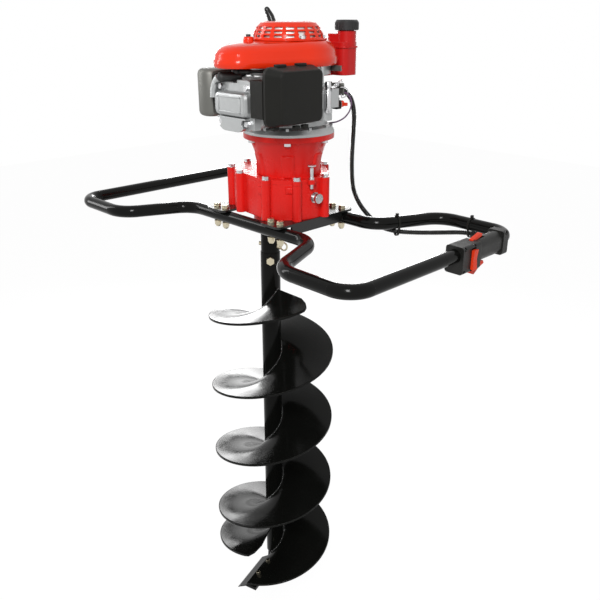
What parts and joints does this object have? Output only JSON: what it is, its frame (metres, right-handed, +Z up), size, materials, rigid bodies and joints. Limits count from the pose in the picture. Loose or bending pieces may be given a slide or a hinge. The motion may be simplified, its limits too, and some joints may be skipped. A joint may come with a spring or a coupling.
{
  "type": "earth auger",
  "caption": "Petrol earth auger with a looped black handle frame, red gearbox and engine shroud, and a wide black flighted auger with a pilot point.",
  "frame": {"origin": "tip of the pilot point", "axes": "+Z up the auger's axis, +X from the auger to the engine"},
  "size_m": [0.9146, 0.5188, 1.4643],
  "materials": {
    "red_paint": "glossy orange-red",
    "red_casting": "painted casting",
    "red_steel": "gloss paint on pressed steel",
    "red_plastic": "satin moulded",
    "black_paint": "gloss black enamel",
    "black_plastic": "fine textured moulding",
    "black_gloss": "polished moulding",
    "cap_plastic": "dark grey moulding",
    "black_rubber": "matt",
    "cast_aluminium": "die cast, blasted",
    "bright_steel": "turned and ground",
    "gear_steel": "oiled",
    "zinc_steel": "yellow zinc",
    "guard_steel": "pressed sheet",
    "lining": "sintered",
    "exhaust_steel": "heat-proof paint"
  },
  "bodies": {
    "machine": {"gear_case": "red_casting", "bell_housing": "red_casting", "gearbox_bolts": "bright_steel", "breather_plug": "bright_steel", "oil_plug": "bright_steel", "gearbox_bearings": "bright_steel", "output_seal": "black_rubber", "front_tube": "black_paint", "rear_tube": "black_paint", "left_cross_plate": "black_paint", "right_cross_plate": "black_paint", "frame_bolts": "zinc_steel", "frame_nuts": "zinc_steel", "throttle_housing": "black_plastic", "throttle_cover": "black_plastic", "grip_screws": "bright_steel", "control_conduit": "black_plastic", "cable_ties": "black_plastic", "crankcase": "cast_aluminium", "cylinder_head": "cast_aluminium", "valve_cover": "cast_aluminium", "engine_bolts": "bright_steel", "muffler": "exhaust_steel", "muffler_guard": "guard_steel", "plug_boot": "black_rubber", "engine_leads": "black_rubber", "air_cleaner_base": "black_plastic", "air_cleaner_cover": "black_plastic", "carburettor": "cast_aluminium", "control_bracket": "guard_steel", "fan_shroud": "red_paint", "recoil_cover": "red_paint", "fuel_tank": "red_steel"},
    "auger": {"auger_tube": "black_paint", "auger_flight": "black_paint", "starter_flight": "black_paint", "cutting_blades": "black_paint", "auger_bolts": "zinc_steel", "pilot_point": "black_paint", "drive_socket": "black_paint", "output_shaft": "bright_steel", "output_gear": "gear_steel"},
    "lock_pin": {"lock_pin": "zinc_steel"},
    "layshaft": {"layshaft": "gear_steel", "layshaft_gear": "gear_steel"},
    "drum": {"pinion_shaft": "gear_steel", "clutch_drum": "gear_steel"},
    "crank": {"crankshaft": "gear_steel", "clutch_hub": "gear_steel", "flywheel": "cast_aluminium"},
    "shoe_a": {"clutch_shoe_a": "lining"},
    "shoe_b": {"clutch_shoe_b": "lining"},
    "trigger": {"trigger": "red_plastic"},
    "lockout_lever": {"lockout_lever": "red_plastic"},
    "stop_rocker": {"stop_rocker": "red_plastic"},
    "throttle_lever": {"throttle_lever": "guard_steel"},
    "recoil_pulley": {"recoil_pulley": "guard_steel"},
    "pull_handle": {"pull_handle": "black_gloss"},
    "fuel_cap": {"fuel_cap": "cap_plastic"},
    "fuel_lever": {"fuel_lever": "red_plastic"}
  },
  "joints": [
    {"name": "auger_spin", "type": "hinge", "parent": "machine", "child": "auger", "pos_m": [0, 0, 1], "axis": [0, 0, 1], "continuous": true},
    {"name": "layshaft_spin", "type": "hinge", "parent": "machine", "child": "layshaft", "pos_m": [0.04012, 0.05114, 1.09], "axis": [0, 0, 1], "continuous": true},
    {"name": "drum_spin", "type": "hinge", "parent": "machine", "child": "drum", "pos_m": [0.065, 0, 1.16], "axis": [0, 0, 1], "continuous": true},
    {"name": "crank_spin", "type": "hinge", "parent": "machine", "child": "crank", "pos_m": [0.065, 0, 1.3], "axis": [0, 0, 1], "continuous": true},
    {"name": "shoe_a_slide", "type": "slide", "parent": "crank", "child": "shoe_a", "axis": [0, 1, 0], "range_m": [0, 0.001], "stiffness_N_per_m": 2000},
    {"name": "shoe_b_slide", "type": "slide", "parent": "crank", "child": "shoe_b", "axis": [0, -1, 0], "range_m": [0, 0.001], "stiffness_N_per_m": 2000},
    {"name": "lock_pin_draw", "type": "slide", "parent": "auger", "child": "lock_pin", "axis": [0.9397, 0.342, 0], "range_m": [0, 0.053]},
    {"name": "trigger_pull", "type": "hinge", "parent": "machine", "child": "trigger", "pos_m": [0.47, 0.095, 1.0055], "axis": [1, 0, 0], "range_deg": [0, 12], "stiffness_Nm_per_rad": 0.3},
    {"name": "lockout_press", "type": "hinge", "parent": "machine", "child": "lockout_lever", "pos_m": [0.47, 0.098, 1.0515], "axis": [-1, 0, 0], "range_deg": [0, 8], "stiffness_Nm_per_rad": 0.1},
    {"name": "rocker_tilt", "type": "hinge", "parent": "machine", "child": "stop_rocker", "pos_m": [0.488, 0.076, 1.023], "axis": [0, 1, 0], "range_deg": [-8, 8]},
    {"name": "throttle_lever_swing", "type": "hinge", "parent": "machine", "child": "throttle_lever", "pos_m": [0.129, 0.058, 1.317], "axis": [0, 0, 1], "range_deg": [0, 30]},
    {"name": "handle_pull", "type": "slide", "parent": "machine", "child": "pull_handle", "axis": [-0.3744, 0.1589, 0.9135], "range_m": [0, 0.03], "stiffness_N_per_m": 40},
    {"name": "pulley_turn", "type": "hinge", "parent": "machine", "child": "recoil_pulley", "pos_m": [0.065, 0, 1.41], "axis": [0, 0, 1], "range_deg": [0, 45]},
    {"name": "fuel_cap_turn", "type": "hinge", "parent": "machine", "child": "fuel_cap", "pos_m": [0.103, 0.132, 1.43], "axis": [0, 0, 1], "range_deg": [0, 120]},
    {"name": "fuel_tap_turn", "type": "hinge", "parent": "machine", "child": "fuel_lever", "pos_m": [0.167, 0.05, 1.282], "axis": [0, 1, 0], "range_deg": [0, 90]}
  ],
  "couplings": [
    {"joint": "layshaft_spin", "follows": "auger_spin", "ratio": -5.5},
    {"joint": "drum_spin", "follows": "auger_spin", "ratio": 30.25},
    {"joint": "shoe_b_slide", "follows": "shoe_a_slide", "ratio": 1},
    {"joint": "throttle_lever_swing", "follows": "trigger_pull", "ratio": 2},
    {"joint": "pulley_turn", "follows": "handle_pull", "rad_per_m": 23.8}
  ]
}
